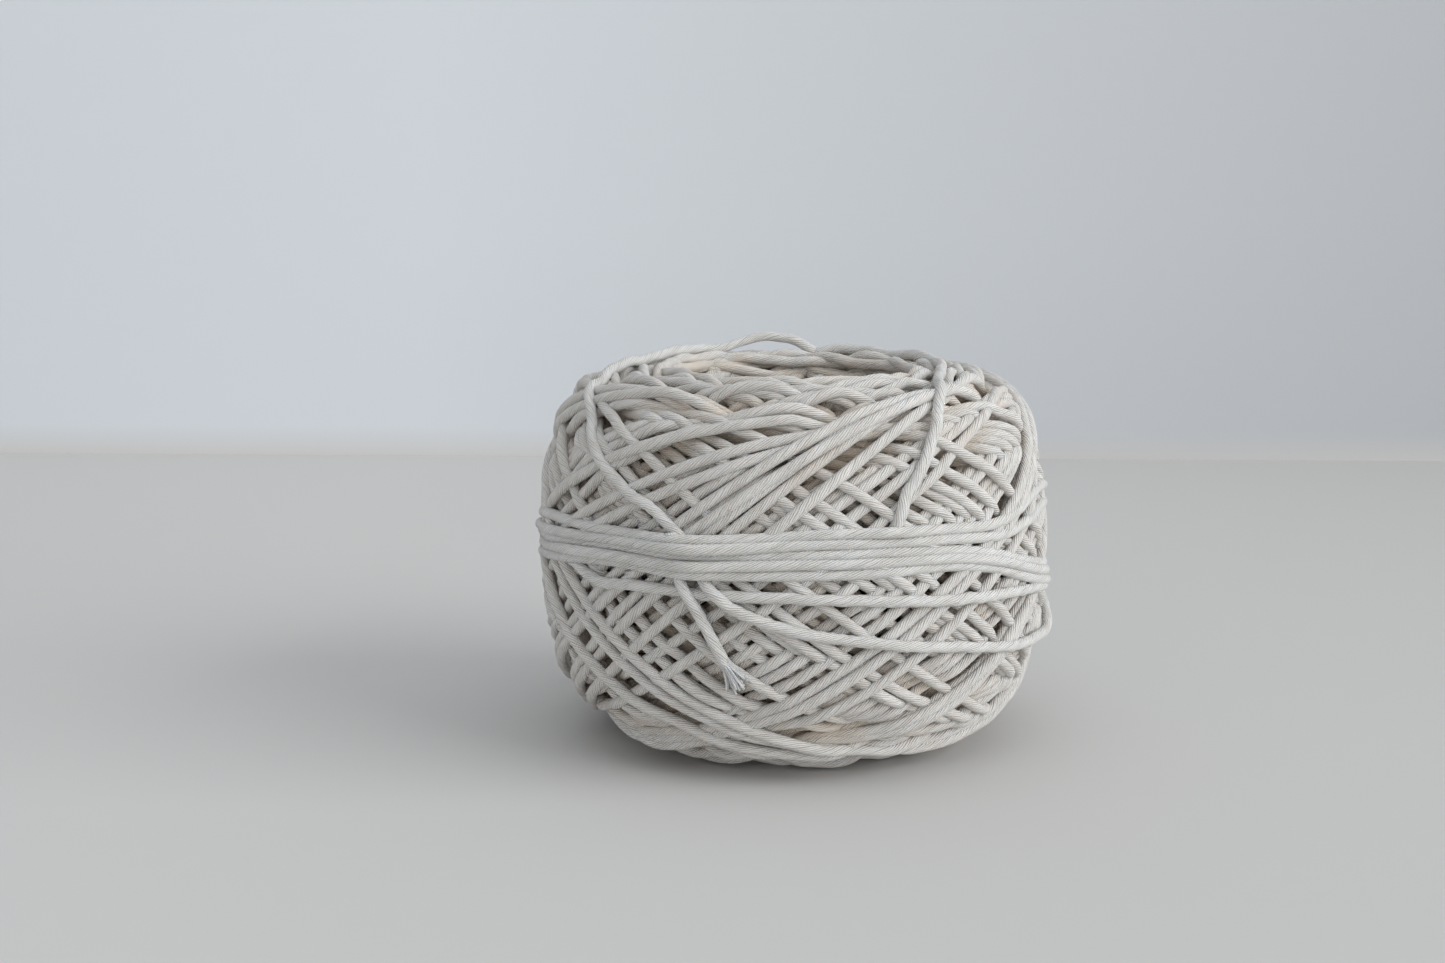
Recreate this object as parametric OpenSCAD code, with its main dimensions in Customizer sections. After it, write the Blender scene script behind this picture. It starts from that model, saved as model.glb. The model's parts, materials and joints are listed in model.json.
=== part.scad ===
// Centre-pull ball of single-twist cotton twine: a coreless winding with an open
// centre hole, crossed by a lattice of turns, belted by near-level wraps, with the
// last loose turns, two strands over the shoulder and the cut end.
// The axis of the ball is Z. The ball rests on z = 0 and its front is -Y.
// Angles run from the front towards +X. A latitude is 0 at the widest part,
// 90 at the edge of the top face and -90 at the edge of the resting face.

/* [Ball] */
// Height from the resting face to the top face
ball_h = 81; // [64:1:100]
// Diameter over the crossing turns, at the widest part
ball_d = 108; // [92:1:130]
// Height of the widest part above the resting face
widest_h = 36.5; // [30:0.5:46]
// Diameter of the flat ring on the top and on the resting face
face_d = 56; // [55:1:66]
// Squareness of the shoulder above the widest part, where 2 is round
shoulder_squareness = 3.2; // [2:0.1:5]
// Squareness of the foot below the widest part, where 2 is round
foot_squareness = 2.3; // [2:0.1:5]

/* [Centre hole] */
// Diameter of the centre hole that the twine is drawn out of
hole_d = 38; // [24:1:42]
// Diameter of the flared mouth at each end of the hole
mouth_d = 53; // [46:1:54]
// Depth of each flared mouth
mouth_depth = 13; // [4:1:20]

/* [Twine] */
// Diameter of the twine
twine_d = 2; // [1.5:0.1:2.4]
// Clearance between a strand and what it lies on or beside
wrap_gap = 0.3; // [0.2:0.05:0.5]
// Diameter of the loosened tip of the cut end
tip_d = 3; // [2.4:0.1:4]

/* [Crossing turns] */
// Number of crossing turns in the outer lattice
turn_count = 16; // [8:1:16]
// Latitude at which a turn passes over the shoulder
reach_up = 75; // [60:1:78]
// Latitude at which a turn passes under the foot, counted downwards
reach_down = 63; // [48:1:66]

/* [Belly wraps] */
// Number of wraps in the belt
wrap_count = 5; // [2:1:5]
// Height of the lowest wrap above the widest part, at the front
wrap_rise = 9.3; // [6:0.1:12]
// Tilt of the belt, which is highest at the front
wrap_tilt = 8.5; // [4:0.5:12]

/* [Hidden] */

round_fn = 96;
barrel_step = 6;
slope_step = 0.5;
turn_sides = 6;
turn_steps = 20;
apex_step = 3.5;
strand_sides = 8;
route_steps = 3;

twine_r = twine_d / 2;
layer = twine_d + wrap_gap;
inner_turn_lift = wrap_gap + twine_r;
outer_turn_lift = inner_turn_lift + layer;
on_turns_lift = outer_turn_lift + layer;
lattice_t = 2 * layer;
core_r = ball_d / 2 - lattice_t;
face_r = face_d / 2;
rim_w = 1.5;
hole_r = hole_d / 2;
mouth_r = min(mouth_d / 2, face_r - rim_w);
wrap_r = (ball_d / 2 + inner_turn_lift) / cos(wrap_tilt);
middle = [0, 0, ball_h / 2];

twine_white = "ivory";
twine_cream = "antiquewhite";
twine_shaded = "wheat";

// Routes of the free strands, as [angle, latitude, layers above the core].
// Layer 1 lies on the core, 3 on the lattice and 4 over another free strand.
upper_turn_route = [
    [-45, 11, 3], [-34, 12.5, 3], [-18, 12, 3], [4, 11, 3],
    [28, 7, 3], [48, 3.5, 3], [64, 0, 3], [78, -4, 3]
];
lower_turn_route = [
    [-17.5, 17.5, 4], [-15, 12, 4.1], [-10.5, 4, 3.4], [-3, -3, 3], [7, -9, 3], [22, -14, 3],
    [43, -21, 3], [62, -27, 3], [76, -28, 3.4], [88, -25, 3.6], [98, -18, 3.3], [105, -12, 3]
];
left_tie_route = [
    [-165, 86, 1], [-140, 86, 1], [-120, 85.5, 1], [-103, 83, 2.2], [-87, 77.5, 3],
    [-70, 70, 3.1], [-56, 61, 3], [-46, 53, 3], [-37, 47, 3], [-31, 44, 3]
];
right_tie_route = [
    [170, 86, 1], [140, 86, 1], [114, 86, 1], [88, 85.5, 1], [67, 83, 2.2],
    [52, 77.5, 3], [41, 69, 3.1], [33, 60, 3], [27, 52, 3], [24, 47.5, 3]
];
cut_end_route = [
    [-22.5, 18, 4], [-21.2, 12.5, 4.1], [-19.5, 5, 3.4], [-17, -7, 3], [-14, -20, 3], [-11, -30, 3]
];

function unit(v) = v / norm(v);

// Outline of the barrel as [radius, height] at a latitude
function barrel(latitude) =
    let (
        above = latitude >= 0,
        power = above ? shoulder_squareness : foot_squareness,
        across = abs(cos(latitude)) / (core_r - face_r),
        along = abs(sin(latitude)) / (above ? ball_h - widest_h : widest_h),
        reach = pow(pow(across, power) + pow(along, power), -1 / power)
    )
    [face_r + reach * cos(latitude), widest_h + reach * sin(latitude)];

// Point at an angle and latitude, lifted square off the barrel
function on_barrel(angle, latitude, lift) =
    let (
        slope = unit(barrel(latitude + slope_step) - barrel(latitude - slope_step)),
        outline = barrel(latitude) + lift * [slope.y, -slope.x]
    )
    [outline.x * sin(angle), -outline.x * cos(angle), outline.y];

// Smooth curve through a route's points, route_steps rings from each to the next
function smooth(points) =
    let (last = len(points) - 1)
    concat(
        [
            for (i = [0:last - 1], k = [0:route_steps - 1])
                let (
                    t = k / route_steps,
                    before = points[max(i - 1, 0)],
                    after = points[min(i + 2, last)],
                    a = 2 * points[i],
                    b = points[i + 1] - before,
                    c = 2 * before - 5 * points[i] + 4 * points[i + 1] - after,
                    d = after - before + 3 * (points[i] - points[i + 1])
                )
                (a + b * t + c * t * t + d * t * t * t) / 2
        ],
        [points[last]]
    );

function layer_lift(layers) = inner_turn_lift + (layers - 1) * layer;
function route_path(route) = [for (p = smooth(route)) on_barrel(p[0], p[1], layer_lift(p[2]))];

// One ring of corners round a path's point, square to the path
function ring(point, direction, radius, sides) =
    let (
        aside = unit(cross(direction, point - middle)),
        outward = cross(aside, direction)
    )
    [for (k = [0:sides - 1]) let (a = 360 * k / sides) point + radius * (cos(a) * outward + sin(a) * aside)];

// Triangles that join each ring to the next
function skin(rings, sides, closed) = [
    for (i = [0:rings - (closed ? 1 : 2)], k = [0:sides - 1])
        let (
            next_ring = (i + 1) % rings,
            next_k = (k + 1) % sides,
            a = i * sides + k,
            b = i * sides + next_k,
            c = next_ring * sides + k,
            d = next_ring * sides + next_k
        )
        each [[a, c, b], [b, c, d]]
];

// Twine swept along a path, with one radius for each of its points
module strand(path, radii, sides, closed = false) {
    count = len(path);
    last = count - 1;
    corners = [
        for (i = [0:last])
            let (
                ahead = path[closed ? (i + 1) % count : min(i + 1, last)],
                behind = path[closed ? (i + last) % count : max(i - 1, 0)]
            )
            each ring(path[i], unit(ahead - behind), radii[i], sides)
    ];
    caps = closed ? [] : [
        [for (k = [0:sides - 1]) k],
        [for (k = [0:sides - 1]) last * sides + sides - 1 - k]
    ];
    polyhedron(points = corners, faces = concat(skin(count, sides, closed), caps), convexity = 4);
}

module free_strand(route) {
    path = route_path(route);
    strand(path, [for (p = path) twine_r], strand_sides);
}

// Inner winding: a barrel with a round hole and a flared mouth at each end
module winding_core() {
    outline = concat(
        [[hole_r, mouth_depth], [mouth_r, 0]],
        [for (latitude = [-90:barrel_step:90]) barrel(latitude)],
        [[mouth_r, ball_h], [hole_r, ball_h - mouth_depth]]
    );
    color(twine_shaded)
        rotate_extrude($fn = round_fn)
            polygon(outline);
}

// One turn of the lattice. It rises in the inner layer and falls in the outer layer,
// and changes layer within a short step at the top and at the bottom of its path,
// so the turns pass over and under each other without touching.
module crossing_turn(i) {
    start = 360 * (i - 1) / turn_count;
    half = 180 - 2 * apex_step;
    centre = (reach_up - reach_down) / 2;
    swing = (reach_up + reach_down) / 2;
    path = [
        for (side = [0, 1], k = [0:turn_steps])
            let (
                along = 180 * side - 90 + apex_step + half * k / turn_steps,
                latitude = centre + swing * sin(along)
            )
            on_barrel(start + along, latitude, side == 0 ? inner_turn_lift : outer_turn_lift)
    ];
    color(i % 2 == 0 ? twine_cream : twine_white)
        strand(path, [for (p = path) twine_r], turn_sides, closed = true);
}

// One wrap of the belt: a ring round the axis, tilted so that its front is highest
module belly_wrap(i) {
    front_h = widest_h + wrap_rise + (i - 1) * layer;
    color(i % 2 == 0 ? twine_white : twine_cream)
        translate([0, 0, front_h - wrap_r * sin(wrap_tilt)])
            rotate([-wrap_tilt, 0, 0])
                rotate_extrude($fn = round_fn)
                    translate([wrap_r, 0])
                        circle(r = twine_r, $fn = 24);
}

module loose_turn_upper() {
    color(twine_white) free_strand(upper_turn_route);
}

module loose_turn_lower() {
    color(twine_white) free_strand(lower_turn_route);
}

module tie_strand_left() {
    color(twine_white) free_strand(left_tie_route);
}

module tie_strand_right() {
    color(twine_white) free_strand(right_tie_route);
}

// Cut end of the twine, whose last stretch opens out towards the tip
module cut_end() {
    path = route_path(cut_end_route);
    last = len(path) - 1;
    open = 2 * route_steps;
    spread = [for (i = [0:last]) max(0, i - last + open) / open];
    color(twine_white)
        strand(path, [for (s = spread) twine_r + s * (tip_d - twine_d) / 2], strand_sides);
}

winding_core();
for (i = [1:turn_count])
    crossing_turn(i);
for (i = [1:wrap_count])
    belly_wrap(i);
loose_turn_upper();
loose_turn_lower();
tie_strand_left();
tie_strand_right();
cut_end();
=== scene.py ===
"""Centre-pull ball of cotton twine: the looks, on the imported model's frame."""
import json
import math

import bpy
import numpy as np
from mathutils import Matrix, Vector


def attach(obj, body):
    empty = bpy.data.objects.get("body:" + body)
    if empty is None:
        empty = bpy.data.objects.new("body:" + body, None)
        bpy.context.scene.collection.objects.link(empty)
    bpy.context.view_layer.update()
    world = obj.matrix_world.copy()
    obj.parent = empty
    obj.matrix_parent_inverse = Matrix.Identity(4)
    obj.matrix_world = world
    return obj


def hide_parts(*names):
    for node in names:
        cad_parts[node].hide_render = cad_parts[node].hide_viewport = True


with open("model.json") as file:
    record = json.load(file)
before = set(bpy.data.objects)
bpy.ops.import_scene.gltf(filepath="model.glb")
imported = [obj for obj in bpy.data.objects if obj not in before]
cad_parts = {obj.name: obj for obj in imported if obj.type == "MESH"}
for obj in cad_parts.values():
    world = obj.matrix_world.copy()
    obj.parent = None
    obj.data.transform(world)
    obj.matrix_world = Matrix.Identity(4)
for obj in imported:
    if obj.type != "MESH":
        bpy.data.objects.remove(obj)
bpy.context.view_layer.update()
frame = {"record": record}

# ---------------------------------------------------------------- the ball, in millimetres and degrees
MM = 0.001
SEED = 7
BORE = next(mount["dims"] for mount in frame["record"]["mounts"] if mount["name"] == "centre_hole")

# The CAD core's outline, which the CAD source's routes follow
CORE_R, CORE_FACE_R, CORE_H, CORE_WIDEST_H = 49.4, 28.0, 81.0, 36.5
CORE_UNDER = 4.0  # how far under the outside it is looked for
SHOULDER_SQUARENESS, FOOT_SQUARENESS = 3.2, 2.3

# The outside of the dressed winding
OUTSIDE_R, OUTSIDE_FACE_R, OUTSIDE_H, OUTSIDE_WIDEST_H = 54.9, 29.5, 80.8, 36.2
RIM_R = 26.0
HOLE_R = BORE["r_mm"]
MOUTH_DEPTH = (CORE_H - BORE["length_mm"]) / 2
WOUND_DEPTH, LINED_DEPTH = 17.0, 5.0  # how deep the modelled turns go, on the side and in the hole
HIDDEN = 8.5  # how deep under the winding's top twine can't be seen

# The twine
TWINE_R = 1.0
TWINE_LAY, YARNS = 15.0, 14  # length of one round of its twist, and how many yarns it has
SLUB, UNEVEN = 1.14, 0.05  # its thickness with its fuzz, as a share, and how much that varies
FUZZ = 0.018  # how rough each ring of the mesh is
GIRTH = 2 * math.pi * 1.12 * TWINE_R  # round the fuzz, as the map for baking takes it

# Sampling
CELL = 0.35  # of the grids that cover the ball
STEP = 0.5  # between the samples of a route
RING_STEP = 1.0  # between the rings of a mesh
MAP_UNIT = 10.0  # length of twine in one unit of its map
MAP_GAP = 3.0  # length left free between two stretches on the map
HALF_STEPS = 240  # samples of a half turn

# Each pass of the winding: places round the ball, by how many degrees each round falls past the
# last one, the radii at which its first and last turns go round, and how taut they are
PASSES = (
    (9, (10, 10, 10, 10), (20.0, 27.0), 0.3),
    (9, (12, 6, 10, 12), (25.0, 33.0), 0.3),
    (8, (4, 11, 4, 13, 13), (32.0, 42.0), 0.4),
    (9, (3.8, 8, 3.8, 12, 12.4), (27.0, 37.0), 0.45),
    (8, (3.8, 7, 3.8, 3.8, 12, 14.6), (36.0, 45.0), 0.5),
    (9, (3.8, 8, 3.8, 12, 12.4), (46.0, 44.0), 0.5),
    (8, (3.8, 3.8, 12, 8, 3.8, 13.6), (38.5, 44.5), 0.6),
    (9, (3.8, 9, 3.8, 3.8, 8, 11.6), (46.0, 43.5), 0.6),
)
BURIED_PASSES = 2  # passes that the inner winding is made of
SPLITS = (1, 2, 1, 3, 4, 5)  # pieces made of each later pass: sixteen in all
WIDEST_REACH = 48.0  # the largest radius at which a turn goes round
HALF_LENGTH = 175  # of a half turn
STRAY = 0.5, 30  # how far turns stray sideways, and over what length
REACH_STRAY, TURN_UNIT = (0.7, 30), 10  # the same for their reach, with each turn taken as this long
TUCK = 7.0, 45.0  # how deep the ends of each pass are tucked in, and over what length
SQUASH, LOOSE_SQUASH, BELT_SQUASH = 0.45, 0.15, 0.8  # how far a turn sinks into those it crosses
EVENED = 8  # cells over which the winding's top is evened out before it is pressed
SHADED = 9  # cells over which the top strands shade those beside them
LOOSE = 5.5  # how deep the turns lie loosely, before the ones below are pressed together
LOOSE_RATE = 0.62  # how much closer the loose turns lie at the end

# Bands of strands that climb over all the others: the radius they turn round at, negative where
# they climb to the left, an angle and height that the first passes through, and the angle of
# each one from the first
BANDS = (
    (46.3, -30.8, 59.1, (0, -9.0, -28.0)),
    (39.5, -16.5, 54.0, (0, 4.3, 13.0)),
    (43.0, 17.8, 30.0, (0, 4.3, 13.5)),
    (42.0, -58.0, 30.0, (0, 4.2)),
    (43.0, 66.0, 34.0, (0, 4.4)),
    (41.0, 128.0, 50.0, (0, 4.1)),
    (42.0, -128.0, 45.0, (0, 4.2, 11.0)),
    (-43.0, -40.8, 24.7, (0, 6.3, -15.0)),
)
BAND_PULL, BAND_STRAY = 0.85, 0.3
BAND_OVERRUN = 0.16  # how far a band runs on past its half turn at each end, as a share of it
BAND_TUCK = 9.0, 24.0
BAND_PIECES = 9  # pieces that the bands are shared among

# The hole's lining: turns that slant each way, their slant, where they start on the outline, and
# the lift of those that slant back and of those over them
LINING, LINING_SLANT, LINING_EDGE = 26, 2.4, 62.0
LINING_LIFTS = (-1, 2.6), (1, 4.0)
LINING_ANGLE_STRAY, LINING_LIFT_STRAY = 2.0, 0.25
LINING_TUCK = 3.5, 6  # how deep its ends at the rim are tucked in, and over what length

# The CAD source's routes, with a point or two more at their hidden ends: angle, latitude and layer
UPPER_TURN = (
    (-56, 18, 3), (-45, 11, 3), (-34, 12.5, 3), (-18, 12, 3), (4, 11, 3), (28, 7, 3), (48, 3.5, 3),
    (64, 0, 3), (78, -4, 3),
)
LOWER_TURN = (
    (-19.5, 25, 4), (-17.5, 17.5, 4), (-15, 12, 4.1), (-10.5, 4, 3.4), (-3, -3, 3), (7, -9, 3),
    (22, -14, 3), (43, -21, 3), (62, -27, 3), (76, -28, 3.4), (88, -25, 3.6), (98, -18, 3.3),
    (105, -12, 3),
)
LEFT_TIE = (
    (-176, 86, 1), (-165, 86, 1), (-140, 86, 1), (-120, 85.5, 1), (-103, 83, 2.2), (-87, 77.5, 3),
    (-70, 70, 3.1), (-56, 61, 3), (-46, 53, 3), (-37, 47, 3), (-31, 44, 3), (-27, 40, 3),
    (-23.5, 36, 3),
)
RIGHT_TIE = (
    (170, 86, 1), (140, 86, 1), (114, 86, 1), (88, 85.5, 1), (67, 83, 2.2), (52, 77.5, 3),
    (41, 69, 3.1), (33, 60, 3), (27, 52, 3), (24, 47.5, 3), (22.5, 42, 3), (21.5, 38, 3),
)
CUT_END = (
    (-24.6, 37, 3), (-23.8, 28, 3), (-22.5, 18, 4), (-21.2, 12.5, 4.1), (-19.5, 5, 3.4),
    (-17, -7, 3), (-14, -20, 3), (-11, -30, 3),
)

# The belt: angle, and the height of each wrap there, from the lowest to the highest
BELT = (
    (-180, 30, 32, 34, 36, 38), (-140, 33, 35, 37, 39, 41), (-105, 38, 40, 42, 44, 46),
    (-72, 41.6, 43.6, 45.8, 47.6, 50.4), (-55, 44.0, 45.9, 47.2, 49.0, 51.2),
    (-40, 45.4, 46.9, 48.5, 50.0, 51.5), (-15, 45.3, 47.4, 48.9, 50.3, 52.0),
    (5, 45.2, 47.6, 49.3, 51.5, 53.4), (20, 45.3, 47.2, 49.5, 51.2, 53.2),
    (35, 45.6, 47.1, 48.9, 50.9, 52.6), (49, 43.4, 44.9, 46.6, 49.4, 51.7),
    (58, 40.4, 42.3, 44.0, 50.0, 53.8), (66, 38.0, 40.1, 42.2, 51.2, 55.7),
    (76, 35.9, 38.0, 40.1, 52.4, 56.4), (90, 34, 36.2, 38.5, 51.0, 54.5),
    (112, 32.5, 34.6, 36.8, 45, 47.6), (140, 31, 33, 35, 38, 40.2), (180, 30, 32, 34, 36, 38),
)
BELT_ORDER = 3, 1, 5, 2, 4  # in which the wraps are laid
BELT_PULL, BELT_SUNK = 0.9, 0.4  # how taut it is, and how far it sinks into the turns below
BELT_STRAY = 0.4, 14
BELT_CLOSING = 12  # over what length a wrap's ends come together
BELT_OVERLAP = 4  # samples by which a wrap runs on past its own start

# The cut end's tuft
FRAYED, FRAYED_R = 34, 0.36  # its yarns and their radius
FRAYED_BACK = 12  # samples from the end at which they come apart
FRAYED_LENGTHS = 4.8, 7.0
FRAYED_SPREAD = 2.1, 0.7  # how far they spread aside and up
FRAYED_RISE, FRAYED_STRAY = 0.5, 0.2
TAPER = 5.0  # over what length the twine gets thinner there
GOLDEN_ANGLE = 2.4  # in radians

# ---------------------------------------------------------------- the scene, in metres
CAMERA_PLACE = (0, -0.433, 0.127)
CAMERA_YAW, CAMERA_PITCH = math.radians(-2.03), math.radians(9.5)
LENS, SENSOR = 50, 36  # in millimetres

FLOOR_START, WALL_Y, WALL_TOP, HALF_WIDTH = -3.0, 0.386, 3.0, 4.0
WALL_FADE = 0.012  # height over which the floor's colour turns into the wall's
LEFT_X, RIGHT_X = -0.15, 0.33  # where the colours on the left end, and those on the right, darker with painted shade, start
# cloth and wall colours, left and right: the right ones are darker with painted shade
CLOTH_COLOURS = (0.635, 0.618, 0.595, 1), (0.52, 0.507, 0.49, 1)
WALL_COLOURS = (0.69, 0.71, 0.735, 1), (0.43, 0.435, 0.443, 1)

LAMP_AIM = (0, 0, 0.04)
LAMPS = {  # place, size, watts and colour
    "window": ((1.78, -0.72, 0.82), (1.7, 1.4), 34, (0.955, 0.98, 1.0)),
    "room": ((-0.15, -1.7, 0.16), (1.8, 0.3), 4.2, (0.97, 0.98, 0.98)),
    "ceiling": ((0.1, -0.4, 1.95), (2.0, 1.2), 5, (0.95, 0.975, 1.0)),
}
WORLD_COLOUR, WORLD_STRENGTH = (0.90, 0.948, 1.0, 1), 0.58

# ---------------------------------------------------------------- the twine's colours
LATTICE_COLOURS = (0.825, 0.81, 0.79, 1), (0.76, 0.72, 0.675, 1)  # light and dark
OUTER_COLOURS = (0.828, 0.818, 0.805, 1), (0.765, 0.743, 0.705, 1)
FLUFF_COLOURS = (0.90, 0.895, 0.885, 1), (0.84, 0.83, 0.81, 1)
# painted shade in the gaps: the colour that strands turn as they lie deeper under others
PAINTED_GAP_SHADE = (0.755, 0.645, 0.535, 1)
GROOVE_SHADE = (0.61, 0.575, 0.515)  # the grooves between yarns, as shares of the dark colour
SPECK = (0.24, 0.16, 0.10, 1)
WAVER_SCALE, FIBRE_SCALE, BLOTCH_SCALE, SPECK_SCALE = 420.0, 5200.0, 260.0, 190.0  # per metre
TANGLE_SCALE = 500.0
TWIST_DEPTH = 0.00028  # how deep the lines between yarns look, in metres
# painted shade: dark browns for the tangle deep inside the ball
CORE_SHADE_COLOURS = (0.39, 0.30, 0.235, 1), (0.29, 0.22, 0.165, 1)

rng = np.random.default_rng(SEED)


# ---------------------------------------------------------------- lines and grids
def lengths_along(points):
    """The polyline's length from its start to each of its points."""
    return np.concatenate([[0], np.cumsum(np.linalg.norm(np.diff(points, axis=0), axis=1))])


def summed(values, u):
    """The values added up along u, from 0 at its start."""
    return np.concatenate([[0], np.cumsum(0.5 * (values[1:] + values[:-1]) * np.diff(u))])


def resample(points, step):
    """The polyline's points at equal steps of its length."""
    lengths = lengths_along(points)
    count = max(2, int(round(lengths[-1] / step)) + 1)
    at = np.linspace(0, lengths[-1], count)
    return np.stack([np.interp(at, lengths, column) for column in points.T], -1)


def blur(values, sigma):
    """Gaussian blur along the first axis, with the ends held."""
    reach = max(1, int(3 * sigma))
    weights = np.exp(-0.5 * (np.arange(-reach, reach + 1) / sigma) ** 2)
    weights /= weights.sum()
    flat = values.reshape(len(values), -1)
    padded = np.pad(flat, ((reach, reach), (0, 0)), mode="edge")
    out = np.stack([np.convolve(column, weights, "valid") for column in padded.T], -1)
    return out.reshape(values.shape)


def blur_round(grid, sigma):
    """Gaussian blur of a grid that wraps round its second axis."""
    reach = int(3 * sigma)
    wide = np.concatenate([grid[:, -reach:], grid, grid[:, :reach]], 1)
    return blur(blur(wide, sigma).T, sigma).T[:, reach:-reach]


def running_max(grid, reach):
    """The highest value within reach cells, on a grid that wraps round its second axis."""
    out = grid.copy()
    for shift in range(-reach, reach + 1):
        out = np.maximum(out, np.roll(grid, shift, 1))
    high = out.copy()
    for shift in range(1, reach + 1):
        high[shift:] = np.maximum(high[shift:], out[:-shift])
        high[:-shift] = np.maximum(high[:-shift], out[shift:])
    return high


def between_cells(grid, row, column):
    """The values at places between cells, on a grid that wraps round its second axis."""
    row = np.clip(row, 0, len(grid) - 1.001)
    i, j = row.astype(int), np.floor(column).astype(int)
    a, b = row - i, column - j
    j, k = j % grid.shape[1], (j + 1) % grid.shape[1]
    low = grid[i, j] * (1 - b) + grid[i, k] * b
    high = grid[i + 1, j] * (1 - b) + grid[i + 1, k] * b
    return low * (1 - a) + high * a


def wander(u, size, length, random):
    """A smooth random drift along u."""
    knots = np.arange(u[0] - length, u[-1] + 2 * length, length)
    values = random.normal(0, size, len(knots))
    return blur(np.interp(u, knots, values), length / STEP / 3)


# ---------------------------------------------------------------- the ball's outline
def barrel(latitude, radius, face_r, height, widest_h):
    """Radius and height of a barrel's outline at a latitude in degrees, as in the CAD source."""
    latitude = np.asarray(latitude, float)
    c, s = np.abs(np.cos(np.radians(latitude))), np.sin(np.radians(latitude))
    power = np.where(s >= 0, SHOULDER_SQUARENESS, FOOT_SQUARENESS)
    tall = np.where(s >= 0, height - widest_h, widest_h)
    reach = ((c / (radius - face_r)) ** power + (np.abs(s) / tall) ** power) ** (-1 / power)
    return np.stack([face_r + reach * c, widest_h + reach * s], -1)


class Outline:
    """The dressed winding's outside by its length s, from inside the hole at the foot (s < 0)
    over the widest part (s = 0) to inside the hole on top (s > 0). depth is how far below it
    the modelled turns start, and a lift is counted from there."""

    def __init__(self):
        side = barrel(np.linspace(-90, 90, 721), OUTSIDE_R, OUTSIDE_FACE_R, OUTSIDE_H, OUTSIDE_WIDEST_H)
        middle = OUTSIDE_H / 2
        bottom = np.array([[HOLE_R, middle], [HOLE_R, MOUTH_DEPTH], [RIM_R, 0.0]])
        top = np.array([[RIM_R, OUTSIDE_H], [HOLE_R, OUTSIDE_H - MOUTH_DEPTH], [HOLE_R, middle]])
        points = resample(np.concatenate([bottom, side, top]), CELL)
        points[4:-4] = blur(points, 5)[4:-4]
        points = resample(points, CELL)
        lengths = lengths_along(points)
        self.points = points
        self.s = lengths - lengths[points[:, 0].argmax()]
        slope = np.gradient(points, axis=0)
        slope /= np.linalg.norm(slope, axis=1)[:, None]
        self.normal = blur(np.stack([slope[:, 1], -slope[:, 0]], -1), 3)
        turned = np.gradient(np.unwrap(np.arctan2(slope[:, 1], slope[:, 0]))) / CELL
        self.bend = blur(turned, 4)
        self.depth = blur(np.where(points[:, 0] < RIM_R + 1, LINED_DEPTH, WOUND_DEPTH), 14)

    def at(self, s):
        """Radius, height, normal, bend and depth at lengths s."""
        columns = (*self.points.T, *self.normal.T, self.bend, self.depth)
        return [np.interp(s, self.s, column) for column in columns]

    def row(self, s):
        """Row of a grid over the ball at lengths s."""
        return (s - self.s[0]) / CELL

    def place(self, angle, s, lift):
        """Points and normals in millimetres at angles in degrees, lengths s and lifts."""
        r, z, nr, nz, _, depth = self.at(s)
        a = np.radians(angle)
        out = np.stack([np.sin(a), -np.cos(a), np.zeros_like(a)], -1)
        up = np.array([0.0, 0.0, 1.0])
        normal = nr[..., None] * out + nz[..., None] * up
        normal /= np.linalg.norm(normal, axis=-1)[..., None]
        base = r[..., None] * out + z[..., None] * up
        return base + (np.asarray(lift) - depth)[..., None] * normal, normal

    def s_of_height(self, height):
        """The length s at which the side has each height."""
        side = np.abs(self.s) < 60
        return np.interp(height, self.points[side, 1], self.s[side])

    def s_of_latitude(self, latitude):
        """The length s nearest the CAD core's outline at each latitude."""
        target = barrel(latitude, CORE_R, CORE_FACE_R, CORE_H, CORE_WIDEST_H)
        under = self.points - CORE_UNDER * self.normal
        gaps = np.linalg.norm(target[:, None] - under[None], axis=2)
        return self.s[gaps.argmin(1)]


outline = Outline()


# ---------------------------------------------------------------- laying twine on the ball
class Relief:
    """How high the twine stands over the buried surface, cell by cell, as turns are laid."""

    def __init__(self):
        self.columns = int(round(2 * math.pi * OUTSIDE_R / CELL))
        self.turn = 360 / self.columns
        self.top = np.zeros((len(outline.s), self.columns))
        # cells on each side of a sample, more of them across because they narrow towards the hole
        self.rows = np.arange(-4, 5)
        self.across = np.arange(-9, 10)

    def cells(self, angle, s):
        """Cells near each sample, with how far inside the twine's edge each one is, squared."""
        row = outline.row(s)
        column = angle / self.turn
        near_row, near_column = np.round(row).astype(int), np.round(column).astype(int)
        rows = near_row[:, None, None] + self.rows[None, :, None]
        columns = near_column[:, None, None] + self.across[None, None, :]
        kept = np.clip(rows, 0, len(outline.s) - 1)
        along = (rows - row[:, None, None]) * CELL
        aside = (columns - column[:, None, None]) * np.radians(self.turn) * outline.points[kept, 0]
        away = along**2 + aside**2
        kept = np.broadcast_to(kept, away.shape)
        columns = np.broadcast_to(columns % self.columns, away.shape)
        return kept, columns, TWINE_R**2 - away

    def need(self, angle, s):
        """Lowest lift at which a strand clears what is laid already."""
        rows, columns, inside = self.cells(angle, s)
        dome = np.sqrt(np.maximum(inside, 0))
        lift = np.where(inside > 0, self.top[rows, columns] + dome, 0)
        return lift.max((1, 2))

    def add(self, angle, s, lift):
        """Lays a strand's samples on top."""
        rows, columns, inside = self.cells(angle, s)
        height = lift[:, None, None] + np.sqrt(np.maximum(inside, 0))
        hit = inside > 0
        np.maximum.at(self.top, (rows[hit], columns[hit]), height[hit])


relief = Relief()


def look_up(grid, angle, s):
    """A grid's values at angles and lengths s."""
    return between_cells(grid, outline.row(s), angle / relief.turn)


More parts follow.
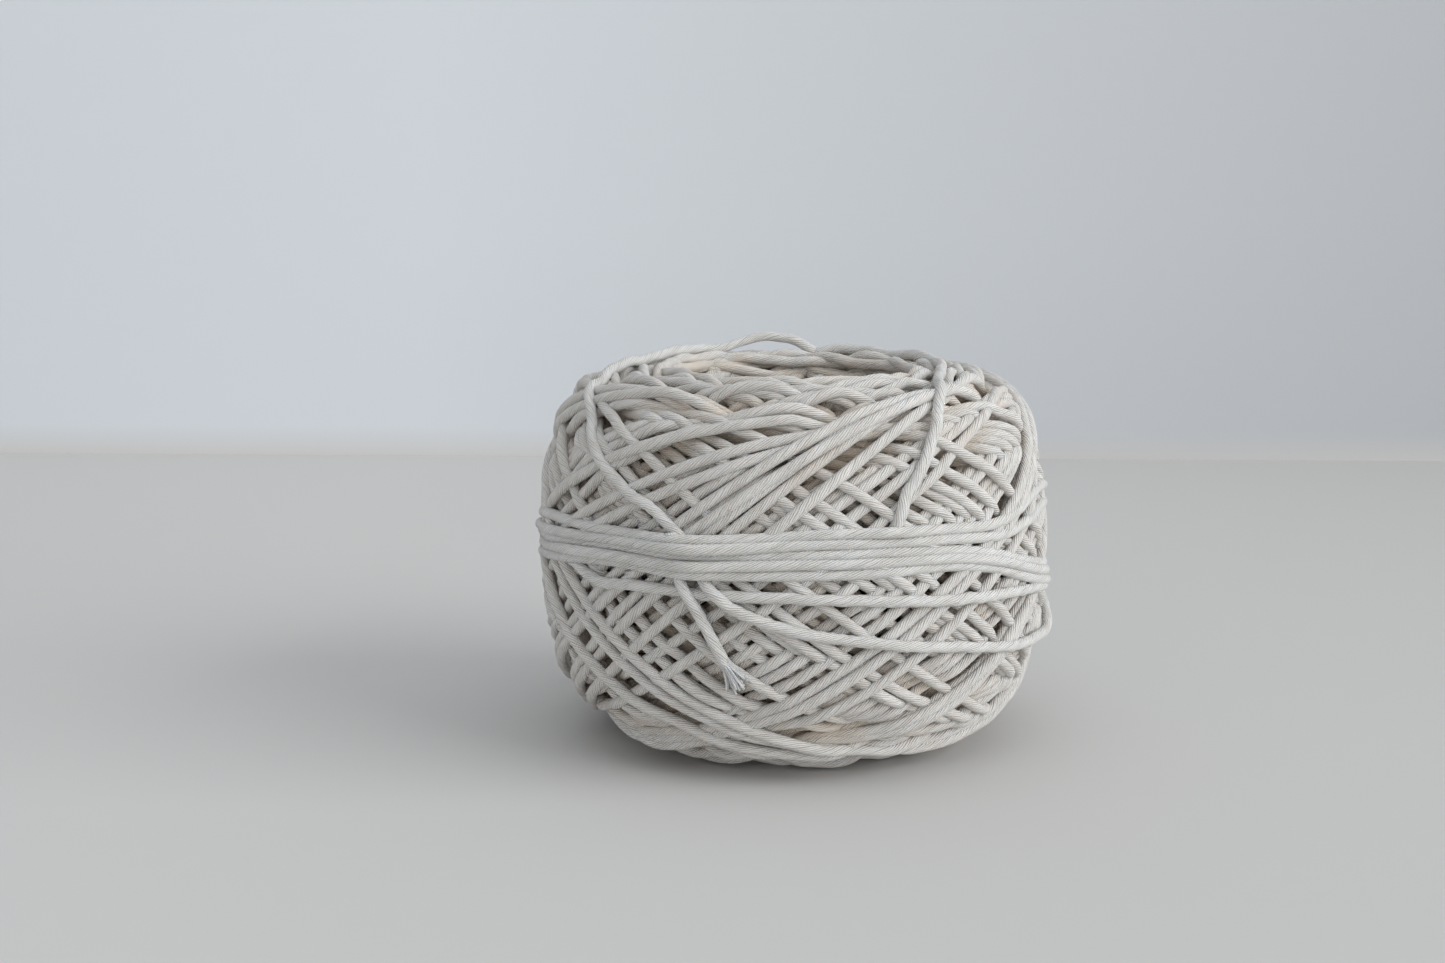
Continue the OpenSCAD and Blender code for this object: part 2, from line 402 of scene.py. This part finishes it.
def taut(u, lift, bend):
    """The lift that a pulled strand takes over its supports: straight between them."""
    sag = summed(summed(bend, u), u)
    height = lift - sag
    hull = [0]
    for i in range(1, len(u)):
        while len(hull) > 1:
            a, b = hull[-2], hull[-1]
            if (height[b] - height[a]) * (u[i] - u[a]) > (height[i] - height[a]) * (u[b] - u[a]):
                break
            hull.pop()
        hull.append(i)
    return np.interp(u, u[hull], height[hull]) + sag


class Strand:
    """One stretch of twine on the ball, by the angle, length s and lift of its middle."""

    def __init__(self, angle, s, lift):
        self.angle, self.s, self.lift = angle, s, lift

    def points(self):
        """Its points in millimetres and the ball's normals there."""
        return outline.place(self.angle, self.s, self.lift)

    def part(self, chosen):
        """The strand with only some of its samples."""
        return Strand(self.angle[chosen], self.s[chosen], self.lift[chosen])


def even_steps(angle, s):
    """The same route with samples at equal steps of its length, and those lengths."""
    points, _ = outline.place(angle, s, outline.at(s)[-1] - TWINE_R)
    lengths = lengths_along(points)
    at = np.linspace(0, lengths[-1], int(lengths[-1] / STEP) + 2)
    return np.interp(at, lengths, angle), np.interp(at, lengths, s), at


def bend_along(angle, s, u):
    """Normal curvature of the buried surface along a route."""
    r, _, nr, _, profile, _ = outline.at(s)
    rise = np.gradient(s, u)
    aside = np.clip(1 - rise**2, 0, 1)
    return profile * rise**2 + nr / r * aside


def lay(angle, s, pull, squash, proud=None):
    """Lays a route on the relief, stretch by stretch, and returns the strand. pull is from
    0, slack, to 1, taut, and proud is how far each of the route's points stands off."""
    stretch, ahead = 300, 90
    route_angle = angle
    angle, s, u = even_steps(angle, s)
    extra = 0 if proud is None else np.interp(angle, route_angle, proud)
    lift = np.zeros(len(u))
    bend = bend_along(angle, s, u)
    for first in range(0, len(u), stretch):
        start, end = max(first - 1, 0), min(first + stretch, len(u))
        seen = slice(start, min(end + ahead, len(u)))
        need = np.maximum(relief.need(angle[seen], s[seen]) - squash, TWINE_R)
        if first:
            need[0] = lift[start]
        pulled = taut(u[seen], need, bend[seen])
        lift[start:end] = (need + pull * (pulled - need))[: end - start]
        done = slice(start, end)
        relief.add(angle[done], s[done], lift[done])
    return Strand(angle, s, blur(lift, 4.0) + extra)


# ---------------------------------------------------------------- the wound turns
def half_turn(reach_r):
    """Angle by length s of a taut half turn, from under the foot to over the shoulder,
    which touches the circle of radius reach_r at both ends."""
    r = outline.points[:, 0] - 2 * outline.normal[:, 0]
    turning = r > reach_r
    widest = int(r.argmax())
    low = widest - int(np.argmin(turning[widest::-1])) + 1
    high = widest + int(np.argmin(turning[widest:])) - 1
    t = np.linspace(-math.pi / 2, math.pi / 2, 3 * HALF_STEPS + 1)
    middle, half = (outline.s[high] + outline.s[low]) / 2, (outline.s[high] - outline.s[low]) / 2
    s = middle + half * np.sin(t)
    radius = np.interp(s, outline.s, r)
    speed = half * np.cos(t) * reach_r / (radius * np.sqrt(np.maximum(radius**2 - reach_r**2, 1e-3)))
    speed[[0, -1]] = speed[[1, -2]]
    return np.degrees(summed(speed, t)), s


class HalfTurns:
    """Half turns for every reach between the hole and the shoulder, ready to be blended."""

    def __init__(self):
        self.reach = np.arange(HOLE_R, WIDEST_REACH + 0.1, 1.0)
        wanted = np.linspace(0, 1, HALF_STEPS + 1)
        self.angle, self.s, self.sweep = [], [], []
        for reach in self.reach:
            angle, s = half_turn(reach)
            self.sweep.append(angle[-1])
            even = np.linspace(0, 1, len(angle))
            self.angle.append(np.interp(wanted, even, angle / angle[-1] * 180))
            self.s.append(np.interp(wanted, even, s))
        self.angle, self.s = np.array(self.angle), np.array(self.s)

    def at(self, reach, t):
        """Angle and length s of a half turn of this reach, t from 0 at the foot to 1 on top."""
        column = np.clip(t * HALF_STEPS, 0, HALF_STEPS - 0.001)
        return [between_cells(grid, reach - self.reach[0], column) for grid in (self.angle, self.s)]


half_turns = HalfTurns()


def turns(reach, advance, random):
    """Wound turns from the foot round to the foot. reach and advance have a value for each
    turn: the radius it turns round at, and the angle by which it falls past the last one."""
    count = len(reach)
    along = np.arange(0, 2 * HALF_STEPS * count + 1) / HALF_STEPS
    reach_along = np.interp(along, np.arange(count) * 2 + 1.0, reach)
    half = np.minimum(along.astype(int), 2 * count - 1)
    t = along - half
    climbing = half % 2 == 0
    angle, s = half_turns.at(reach_along, np.where(climbing, t, 1 - t))
    angle = np.where(climbing, angle, 180 - angle) + 180 * half
    fall = np.interp(along, np.arange(count + 1) * 2.0, np.concatenate([[0], np.cumsum(advance)]))
    return angle + fall, s + wander(along * HALF_LENGTH, *STRAY, random)


def climb(reach, angle, height):
    """A taut half turn from the foot to the top that passes through an angle and height,
    with the beginnings of the turns before and after it."""
    lean, reach = math.copysign(1, reach), abs(reach)
    t = np.linspace(-BAND_OVERRUN, 1 + BAND_OVERRUN, 301)
    back = np.where(t < 0, -t, np.where(t > 1, 2 - t, t))
    turned, s = half_turns.at(np.full(len(t), reach), back)
    turned = np.where(t < 0, -turned, np.where(t > 1, 360 - turned, turned))
    turned = lean * turned / 180 * np.interp(reach, half_turns.reach, half_turns.sweep)
    up = (t > 0) & (t < 1)
    return turned + angle - np.interp(outline.s_of_height(height), s[up], turned[up]), s


def pressed(lift, full, depth, rate):
    """Lifts moved so that the winding's top, at lift full, comes to lift depth. The loose
    turns come this rate closer together, and those below as close as they have to."""
    below = full - lift
    kept = LOOSE * rate
    deep_rate = np.clip((depth - kept) / np.maximum(full - LOOSE, 1), 0.25, 1)
    return depth - np.where(below < LOOSE, below * rate, kept + (below - LOOSE) * deep_rate)


def press(strands, depth, rate=1.0, grow=False):
    """Presses all that is laid, so that its top comes to these depths along the outline. Where
    it is lower than that, it is raised only if it may grow."""
    full = blur_round(running_max(relief.top, EVENED), EVENED)
    depth = np.broadcast_to(depth[:, None], full.shape)
    if not grow:
        depth = np.minimum(depth, full)
    for strand in strands:
        here, there = (look_up(grid, strand.angle, strand.s) for grid in (full, depth))
        strand.lift = pressed(strand.lift, here, there, rate)
    relief.top = pressed(relief.top, full, depth, rate)


def thinnest_start(angle, s, places):
    """The angle to start a pass at, where the ball is thinnest under its turns."""
    row = np.round(outline.row(s)).astype(int)[::5]
    tries = np.arange(0, 360 / places, 3.0)
    column = np.round((angle[None, ::5] + tries[:, None]) / relief.turn).astype(int)
    under = relief.top[row[None], column % relief.columns]
    return tries[np.sqrt((under**2).mean(1)).argmin()]


def tuck(strand, deep, long):
    """Sinks both ends of a strand into the ball."""
    from_end = np.minimum(np.arange(len(strand.s)), np.arange(len(strand.s))[::-1]) * STEP
    strand.lift = strand.lift - deep * np.clip(1 - from_end / long, 0, 1) ** 2


def wind():
    """Lays all the passes, each on top of the last, which is pressed flat first, then the bands."""
    random = np.random.default_rng(SEED)
    laid, bands = [], []
    for i, (places, falls, reaches, pull) in enumerate(PASSES, 1):
        count = places * len(falls)
        reach = np.linspace(*reaches, count)
        reach = reach + wander(np.arange(count) * TURN_UNIT, *REACH_STRAY, random)
        advance = np.repeat([(fall - 360) / places for fall in falls], places)
        angle, s = turns(reach, advance, random)
        laid.append(lay(angle + thinnest_start(angle, s, places), s, pull, SQUASH))
        press(laid, outline.depth * i / len(PASSES))
    for reach, at_angle, at_height, places in BANDS:
        for place in places:
            strayed = reach + random.normal(0, BAND_STRAY)
            angle, s = climb(strayed, at_angle + place, at_height)
            bands.append(lay(angle, s, BAND_PULL, SQUASH))
    press(laid + bands, outline.depth, rate=LOOSE_RATE, grow=True)
    for strand in laid:
        tuck(strand, *TUCK)
    for strand in bands:
        tuck(strand, *BAND_TUCK)
    return laid, bands


def hole_lining():
    """Turns that line the hole, slanting both ways, from the rim at each end to its middle."""
    random = np.random.default_rng(SEED + 1)
    deep, long = LINING_TUCK
    strands = []
    for end, middle in ((-1, -outline.s[0]), (1, outline.s[-1])):
        for slant, lift in LINING_LIFTS:
            for turn in range(LINING):
                along = np.arange(0, middle - LINING_EDGE, STEP)
                start = turn * 360 / LINING
                angle = start + slant * LINING_SLANT * along + random.normal(0, LINING_ANGLE_STRAY)
                strayed = lift + random.normal(0, LINING_LIFT_STRAY)
                tucked = strayed - deep * np.clip(1 - along / long, 0, 1)
                strands.append(Strand(angle, end * (LINING_EDGE + along), tucked))
    return strands


passes, bands = wind()
shade = running_max(relief.top, SHADED)


# ---------------------------------------------------------------- loose strands and the belt
def smooth(points, steps=12):
    """The CAD source's smooth curve through a route's points."""
    points = np.array(points, float)
    padded = np.concatenate([points[:1], points, points[-1:]])
    out = []
    t = np.arange(steps)[:, None] / steps
    for before, here, there, after in zip(padded, padded[1:], padded[2:], padded[3:]):
        b, c = there - before, 2 * before - 5 * here + 4 * there - after
        d = after - before + 3 * (here - there)
        out.append((2 * here + b * t + c * t * t + d * t * t * t) / 2)
    return np.concatenate(out + [points[-1:]])


def lay_route(route, pull=0.8, proud=None):
    """Lays a route, whose lift comes from the relief. proud gives by its angle how far it
    stands off."""
    angle, latitude, _ = smooth(route).T
    return lay(angle, outline.s_of_latitude(latitude), pull, LOOSE_SQUASH, proud and proud(angle))


def carry_on(strand, before, after, sink):
    """The strand with its ends carried on by these lengths, each sinking out of sight."""
    for length in (before, after):
        steps = np.arange(1, int(length / STEP) + 1)
        angle, s, lift = (
            np.concatenate([values, values[-1] + (values[-1] - values[-6]) / 5 * steps])
            for values in (strand.angle[::-1], strand.s[::-1], strand.lift[::-1])
        )
        fall = np.clip(steps * STEP / (0.8 * length + 0.1), 0, 1)
        lift[len(strand.lift):] = strand.lift[0] - sink * fall**2 * (3 - 2 * fall)
        strand = Strand(angle, s, lift)
    return strand


def closed(strand):
    """A wrap sunk in, with its ends brought to one lift and run on past each other."""
    away = np.arange(len(strand.lift)) * STEP
    gap = strand.lift[-1] - strand.lift[0]
    closing = np.exp(-away / BELT_CLOSING) - np.exp(-away[::-1] / BELT_CLOSING)
    lift = strand.lift + gap / 2 * closing - BELT_SUNK
    angle, s, lift = (
        np.concatenate([values[-BELT_OVERLAP - 1 : -1], values, values[1 : BELT_OVERLAP + 1]])
        for values in (strand.angle, strand.s, lift)
    )
    angle[:BELT_OVERLAP] -= 360
    angle[-BELT_OVERLAP:] += 360
    return Strand(angle, s, lift)


def lay_belt():
    """The five wraps of the belt by number, from the lowest to the highest."""
    rows = np.array(BELT)
    angle = np.arange(-180, 181, 2.0)
    wraps = {}
    for i in BELT_ORDER:
        height = blur(np.interp(angle, rows[:, 0], rows[:, i]), 2.0)
        # the stray dies away towards the ends, which meet behind the ball
        height += wander(angle, *BELT_STRAY, rng) * np.clip((180 - np.abs(angle)) / 20, 0, 1)
        wraps[i] = closed(lay(angle, outline.s_of_height(height), BELT_PULL, BELT_SQUASH))
    return dict(sorted(wraps.items()))


def rim_loop(angle):
    """How far the left tie stands off behind the rim."""
    return 2.6 * np.clip((-135 - angle) / 35, 0, 1) ** 1.3


def side_loop(angle):
    """How far the lower loose turn stands off where it turns back."""
    return 1.4 * np.exp(-(((angle - 88) / 13) ** 2))


left_tie = lay_route(LEFT_TIE, 0.5, rim_loop)
right_tie = lay_route(RIGHT_TIE, 0.5)
upper_turn = lay_route(UPPER_TURN)
lower_turn = lay_route(LOWER_TURN, proud=side_loop)
cut_end = lay_route(CUT_END)
belt = lay_belt()
left_tie = carry_on(left_tie, before=17, after=9, sink=6.0)
right_tie = carry_on(right_tie, before=12, after=9, sink=5.0)
upper_turn = carry_on(upper_turn, before=4, after=5, sink=4.0)
lower_turn = carry_on(lower_turn, before=0, after=6, sink=4.0)


# ---------------------------------------------------------------- materials
class Shader:
    """A new material and its nodes."""

    def __init__(self, name):
        self.material = bpy.data.materials.new(name)
        self.material.use_nodes = True
        self.tree = self.material.node_tree

    def connect(self, node, inputs):
        """Links the inputs that are sockets and sets those that are values."""
        for key, value in inputs.items():
            if isinstance(value, bpy.types.NodeSocket):
                self.tree.links.new(value, node.inputs[key])
            else:
                node.inputs[key].default_value = value

    def surface(self, inputs):
        self.connect(self.tree.nodes["Principled BSDF"], inputs)

    def node(self, kind, inputs=None, **settings):
        made = self.tree.nodes.new(kind)
        for key, value in settings.items():
            setattr(made, key, value)
        self.connect(made, inputs or {})
        return made

    def maths(self, operation, *values):
        return self.node("ShaderNodeMath", dict(enumerate(values)), operation=operation).outputs[0]

    def mixed(self, factor, a, b):
        return self.node("ShaderNodeMix", {0: factor, 6: a, 7: b}, data_type="RGBA").outputs[2]

    def ramp(self, value, low, high):
        """From 0 to 1 as a value goes from low to high."""
        return self.node("ShaderNodeMapRange", {0: value, 1: low, 2: high}).outputs[0]

    def noise(self, place, scale, detail):
        inputs = {"Vector": place, "Scale": scale, "Detail": detail}
        return self.node("ShaderNodeTexNoise", inputs).outputs[0]

    def attribute(self, name):
        return self.node("ShaderNodeAttribute", attribute_name=name).outputs["Fac"]

    def place(self):
        return self.node("ShaderNodeTexCoord").outputs["Object"]


def twine_material(name, colours, yarns=YARNS):
    """Undyed cotton twine: yarns twisted together, fuzzy, with painted shade that makes it darker and
    browner the deeper it lies.
    """
    light, dark = colours
    shader = Shader(name)
    maths, mixed = shader.maths, shader.mixed
    place = shader.place()
    twine = shader.node("ShaderNodeUVMap", uv_map="Twine").outputs[0]
    around, along = shader.node("ShaderNodeSeparateXYZ", {0: twine}).outputs[:2]
    tone = shader.attribute("tone")
    turned = maths("ADD", around, maths("MULTIPLY", along, MAP_UNIT / TWINE_LAY))
    # the lines between the yarns, with a slow wander so that they aren't ruled
    waver = maths("MULTIPLY", shader.noise(place, WAVER_SCALE, 2.0), 1.4)
    wavy = maths("ADD", maths("MULTIPLY", turned, float(yarns)), waver)
    ridge = maths("ABSOLUTE", maths("SINE", maths("MULTIPLY", wavy, math.pi)))
    groove = maths("SUBTRACT", 1.0, maths("POWER", ridge, 0.7))
    # each yarn keeps its own darkness for a while along its turn
    across, onward = maths("MULTIPLY", turned, YARNS * 0.8), maths("MULTIPLY", along, 0.9)
    yarn = shader.node("ShaderNodeCombineXYZ", {0: across, 1: onward, 2: maths("MULTIPLY", tone, 40.0)})
    uneven = shader.ramp(shader.noise(yarn.outputs[0], 1.0, 2.0), 0.36, 0.66)
    fibres = shader.noise(place, FIBRE_SCALE, 3.0)
    blotch = shader.noise(place, BLOTCH_SCALE, 3.0)
    specks = shader.node("ShaderNodeTexVoronoi", {"Vector": place, "Scale": SPECK_SCALE})
    speck = maths("LESS_THAN", specks.outputs["Distance"], 0.045)

    shadowed = (*(value * share for value, share in zip(dark, GROOVE_SHADE)), 1)
    colour = mixed(maths("MULTIPLY", blotch, 0.75), light, dark)
    colour = mixed(maths("MULTIPLY", tone, 0.25), colour, dark)
    deep_groove = maths("ADD", 0.45, maths("MULTIPLY", uneven, 0.55))
    colour = mixed(maths("MULTIPLY", groove, deep_groove), colour, shadowed)
    colour = mixed(maths("MULTIPLY", uneven, 0.26), colour, shadowed)
    colour = mixed(maths("MULTIPLY", maths("SUBTRACT", fibres, 0.5), 0.5), colour, (1, 1, 1, 1))
    colour = mixed(maths("MULTIPLY", speck, 0.35), colour, SPECK)
    # painted shade: strands that lie under their neighbours turn darker and browner
    colour = mixed(shader.ramp(shader.attribute("buried"), 0.9, 5.0), colour, PAINTED_GAP_SHADE)

    lines = maths("SUBTRACT", maths("MULTIPLY", ridge, 0.75), maths("MULTIPLY", uneven, 0.6))
    height = maths("ADD", lines, maths("MULTIPLY", fibres, 0.5))
    bump = shader.node("ShaderNodeBump", {"Height": height, "Strength": 1.0, "Distance": TWIST_DEPTH})
    shader.surface({
        "Base Color": colour,
        "Roughness": 0.92,
        "Specular IOR Level": 0.18,
        "Sheen Weight": 0.18,
        "Sheen Roughness": 0.45,
        "Subsurface Weight": 0.35,
        "Subsurface Radius": (1.0, 0.85, 0.7),
        "Subsurface Scale": 0.0015,
        "Normal": bump.outputs[0],
    })
    return shader.material


def core_shade_material():
    """Painted shade deep inside the ball: a tangle in dark browns."""
    shader = Shader("packed_core")
    tangle = shader.noise(shader.place(), TANGLE_SCALE, 2.0)
    shader.surface({"Base Color": shader.mixed(tangle, *CORE_SHADE_COLOURS), "Roughness": 0.95})
    return shader.material


def stage_material():
    """Pale cloth and a pale wall, both darker on the right with painted shade."""
    shader = Shader("backdrop")
    x, _, z = shader.node("ShaderNodeSeparateXYZ", {0: shader.place()}).outputs
    rightward = shader.ramp(x, LEFT_X, RIGHT_X)
    cloth, wall = (shader.mixed(rightward, *colours) for colours in (CLOTH_COLOURS, WALL_COLOURS))
    sheet = shader.mixed(shader.ramp(z, 0.0, WALL_FADE), cloth, wall)
    shader.surface({"Base Color": sheet, "Roughness": 0.95, "Specular IOR Level": 0.1})
    return shader.material


TWINES = {
    "twine_outer": twine_material("twine_outer", OUTER_COLOURS),
    "twine_lattice": twine_material("twine_lattice", LATTICE_COLOURS),
    "twine_inner": twine_material("twine_inner", LATTICE_COLOURS),
}
FLUFF = twine_material("twine_fluff", FLUFF_COLOURS, yarns=2)


# ---------------------------------------------------------------- meshes
class Rope:
    """Gathers tubes of twine into one mesh, with a map along the twine and a map for baking."""

    def __init__(self):
        self.verts, self.quads, self.around, self.along = [], [], [], []
        self.buried, self.tone, self.count, self.length = [], [], 0, 0.0

    def add(self, points, normals, radius, sides, buried, tone):
        """points and normals are in millimetres. radius and buried have a value for each point; buried
        is how far a point lies under the top strands nearby, and sets its painted shade.
        """
        # the ends are closed with a ring that is all but a point
        tips = 1.02 * points[[0, -1]] - 0.02 * points[[1, -2]]
        points = np.concatenate([tips[:1], points, tips[1:]])
        radius, buried = (np.pad(values, 1, mode="edge") for values in (radius, buried))
        normals = np.pad(normals, ((1, 1), (0, 0)), mode="edge")
        radius[[0, -1]] *= 0.03
        tangent = np.gradient(points, axis=0)
        tangent /= np.linalg.norm(tangent, axis=1)[:, None]
        aside = np.cross(tangent, normals)
        aside /= np.linalg.norm(aside, axis=1)[:, None]
        up = np.cross(aside, tangent)
        u = lengths_along(points)
        a = math.pi + 2 * math.pi * np.arange(sides)[None, :, None] / sides
        ring = np.cos(a) * up[:, None] + np.sin(a) * aside[:, None]
        rough = 1 + rng.normal(0, FUZZ, (len(points), sides, 1))
        self.verts.append((points[:, None] + radius[:, None, None] * rough * ring).reshape(-1, 3))
        i = np.arange(len(points) - 1)[:, None] * sides
        k = np.arange(sides)[None]
        k_next = (k + 1) % sides
        quads = np.stack([i + k, i + k_next, i + sides + k_next, i + sides + k], -1)
        self.quads.append(quads.reshape(-1, 4) + self.count)
        around = np.stack([k, k + 1, k + 1, k], -1) / sides
        self.around.append(np.broadcast_to(around, (len(points) - 1, sides, 4)).reshape(-1))
        ends = np.stack([u[:-1], u[:-1], u[1:], u[1:]], -1)[:, None] + self.length
        self.along.append(np.broadcast_to(ends, (len(points) - 1, sides, 4)).reshape(-1))
        self.buried.append(np.repeat(buried, sides))
        self.tone.append(np.full(len(points) * sides, tone))
        self.count += len(points) * sides
        self.length += u[-1] + MAP_GAP

    def bake_map(self, around, along):
        """The twine cut into rows that fill a square, one above the other."""
        rows = max(1, int(math.ceil(math.sqrt(self.length / GIRTH))))
        row_length = self.length / rows
        first = np.repeat(along.reshape(-1, 4)[:, 0], 4)
        row = np.minimum(first // row_length, rows - 1)
        across = (along - row * row_length) / (row_length + 2 * RING_STEP)
        return across, (row + 0.06 + 0.88 * around) / rows

    def mesh(self, name):
        """The mesh of all that is gathered."""
        verts = np.concatenate(self.verts) * MM
        quads = np.concatenate(self.quads)
        around, along = np.concatenate(self.around), np.concatenate(self.along)
        me = bpy.data.meshes.new(name)
        me.vertices.add(len(verts))
        me.vertices.foreach_set("co", verts.ravel().astype(np.float32))
        me.loops.add(quads.size)
        me.loops.foreach_set("vertex_index", quads.ravel().astype(np.int32))
        me.polygons.add(len(quads))
        me.polygons.foreach_set("loop_start", np.arange(0, quads.size, 4, dtype=np.int32))
        me.polygons.foreach_set("use_smooth", np.ones(len(quads), bool))
        me.update(calc_edges=True)
        maps = {"Twine": (around, along / MAP_UNIT), "OFBake": self.bake_map(around, along)}
        for map_name, columns in maps.items():
            layer = me.uv_layers.new(name=map_name)
            layer.data.foreach_set("uv", np.stack(columns, -1).ravel().astype(np.float32))
        for attribute, values in (("buried", self.buried), ("tone", self.tone)):
            layer = me.attributes.new(attribute, "FLOAT", "POINT")
            layer.data.foreach_set("value", np.concatenate(values).astype(np.float32))
        me.validate()
        return me


def plain_mesh(name, verts, faces):
    me = bpy.data.meshes.new(name)
    me.from_pydata(verts, [], faces)
    me.update()
    return me


def add_object(name, data):
    made = bpy.data.objects.new(name, data)
    bpy.context.scene.collection.objects.link(made)
    return made


def add_piece(name, mesh, material, replaced=()):
    """A piece of the ball, which rides on the frame and replaces its CAD nodes."""
    piece = add_object(name, mesh)
    mesh.materials.append(material)
    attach(piece, "root")
    if replaced:
        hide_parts(*replaced)
    return piece


# ---------------------------------------------------------------- pieces
def rope_piece(name, strands, slot, replaced=(), sides=12, whole=False, taper=0.0):
    """A piece made of laid strands. Stretches that lie too deep to be seen are left out, unless
    the strands are kept whole. taper is over what length their ends get thinner."""
    rope = Rope()
    keep = slice(0, None, int(round(RING_STEP / STEP)))
    for strand in strands:
        strand = strand.part(keep)
        points, normals = strand.points()
        # how far each ring lies under the top strands nearby: deep stretches are left out, and the rest
        # get painted shade by it
        over = look_up(shade, strand.angle, strand.s) - (strand.lift + TWINE_R)
        slub = SLUB + wander(np.arange(len(points)) * RING_STEP, UNEVEN, 7, rng)
        if taper:
            slub *= np.clip(np.arange(len(points))[::-1] * RING_STEP / taper, 0.35, 1)
        tone = rng.uniform()
        seen = np.ones(len(points), bool) if whole else over < HIDDEN
        edges = np.flatnonzero(np.diff(np.concatenate([[0], seen, [0]])))
        for first, last in zip(edges[::2], edges[1::2]):
            run = slice(max(first - 2, 0), last + 2)
            if last - first > 3:
                rope.add(points[run], normals[run], TWINE_R * slub[run], sides, over[run], tone)
    return add_piece(name, rope.mesh(name), TWINES[slot], replaced)


def split(strand, parts):
    """The strand cut into this many stretches that meet end to end."""
    edges = np.linspace(0, len(strand.s) - 1, parts + 1).round().astype(int)
    return [strand.part(slice(a, b + 1)) for a, b in zip(edges, edges[1:])]


def winding_pieces():
    """The buried passes, the hole's lining and the sixteen pieces of the lattice."""
    rope_piece("inner_winding", passes[:BURIED_PASSES], "twine_inner", ["winding_core"], sides=8)
    rope_piece("hole_lining", hole_lining(), "twine_inner", sides=10)
    later = zip(passes[BURIED_PASSES:], SPLITS)
    pieces = [[part] for strand, count in later for part in split(strand, count)]
    for i, band in enumerate(bands):
        pieces[-1 - i % BAND_PIECES].append(band)
    for i, strands in enumerate(pieces, 1):
        rope_piece(f"winding_turns_{i}", strands, "twine_lattice", [f"crossing_turn_{i}"])


def frayed_tip(strand):
    """The cut end's yarns, which have come apart and spread."""
    points, normals = strand.points()
    root = points[-FRAYED_BACK]
    onward = points[-1] - root
    onward /= np.linalg.norm(onward)
    up = normals[-1]
    aside = np.cross(onward, up)
    rope = Rope()
    t = np.linspace(0, 1, 11)[:, None]
    radius = FRAYED_R * (1 - 0.35 * t[:, 0])
    wide, high = FRAYED_SPREAD
    for i in range(FRAYED):
        turn = i * GOLDEN_ANGLE
        out = math.sqrt((i + 0.5) / FRAYED)
        across, over = out * math.cos(turn), out * math.sin(turn)
        start = root + 0.75 * (across * aside + over * up)
        length = rng.uniform(*FRAYED_LENGTHS)
        spread = across * wide * aside + (over * high + FRAYED_RISE) * up
        spread = spread + rng.normal(0, FRAYED_STRAY) * aside
        path = start + onward * t * length + spread * t**1.7
        rope.add(path, np.repeat(up[None], len(t), 0), radius, 6, np.zeros(len(t)), 0.0)
    return add_piece("frayed_tip", rope.mesh("frayed_tip"), FLUFF)


def cord_piece(name, strand, node, with_pieces=()):
    """A loose strand: one piece, its end thinning when other pieces go with it."""
    taper = TAPER if with_pieces else 0.0
    piece = rope_piece(name, [strand], "twine_outer", [node], sides=14, whole=True, taper=taper)
    points = strand.points()[0] * MM
    tuple(points[0])
    float(lengths_along(points)[-1])
    [tuple(p) for p in points[::2]]


def packed_core():
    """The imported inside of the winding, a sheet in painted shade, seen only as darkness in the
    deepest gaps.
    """
    around = np.radians(np.arange(0, 360, 5))
    r, z, nr, nz, _, depth = outline.at(outline.s[::6])
    radius, height = r - (depth + 0.3) * nr, z - (depth + 0.3) * nz
    x, y = np.outer(radius, np.sin(around)), -np.outer(radius, np.cos(around))
    verts = np.stack([x, y, np.repeat(height[:, None], len(around), 1)], -1).reshape(-1, 3) * MM
    n, m = len(r), len(around)
    faces = [
        (i * m + k, i * m + (k + 1) % m, (i + 1) * m + (k + 1) % m, (i + 1) * m + k)
        for i in range(n - 1) for k in range(m)
    ]
    mesh = plain_mesh("packed_core", verts.tolist(), faces)
    add_piece("packed_core", mesh, core_shade_material())


winding_pieces()
for i, strand in belt.items():
    rope_piece(f"belt_wrap_{i}", [strand], "twine_outer", [f"belly_wrap_{i}"])
cord_piece("loose_strand_upper", upper_turn, "loose_turn_upper")
cord_piece("loose_strand_lower", lower_turn, "loose_turn_lower")
cord_piece("left_tie", left_tie, "tie_strand_left")
cord_piece("right_tie", right_tie, "tie_strand_right")
cord_piece("cut_tail", cut_end, "cut_end", [frayed_tip(cut_end)])
packed_core()


# ---------------------------------------------------------------- camera, stage and light
def add_camera():
    camera = add_object("camera", bpy.data.cameras.new("camera"))
    camera.data.lens = LENS
    camera.data.sensor_width = SENSOR
    camera.data.clip_start = 0.01
    camera.location = CAMERA_PLACE
    camera.rotation_euler = (math.pi / 2 - CAMERA_PITCH, 0, -CAMERA_YAW)
    bpy.context.scene.camera = camera


def add_stage():
    """Floor that runs back from the camera and turns up into the wall behind."""
    profile = [(FLOOR_START, 0.0), (WALL_Y, 0.0), (WALL_Y, WALL_TOP)]
    verts = [(x, y, z) for y, z in profile for x in (-HALF_WIDTH, HALF_WIDTH)]
    faces = [(2 * i, 2 * i + 1, 2 * i + 3, 2 * i + 2) for i in range(len(profile) - 1)]
    backdrop = add_object("backdrop", plain_mesh("backdrop", verts, faces))
    backdrop.data.materials.append(stage_material())


def add_lamp(name, place, size, watts, colour):
    light = bpy.data.lights.new(name, "AREA")
    light.shape = "RECTANGLE"
    light.size, light.size_y = size
    light.energy = watts
    light.color = colour
    lamp = add_object(name, light)
    lamp.location = place
    lamp.rotation_euler = (Vector(LAMP_AIM) - Vector(place)).to_track_quat("-Z", "Y").to_euler()


def add_world():
    world = bpy.data.worlds.new("room_light")
    world.use_nodes = True
    background = world.node_tree.nodes["Background"]
    background.inputs["Color"].default_value = WORLD_COLOUR
    background.inputs["Strength"].default_value = WORLD_STRENGTH
    bpy.context.scene.world = world


add_camera()
add_stage()
for name, settings in LAMPS.items():
    add_lamp(name, *settings)
add_world()
bpy.context.scene.view_settings.view_transform = "Standard"
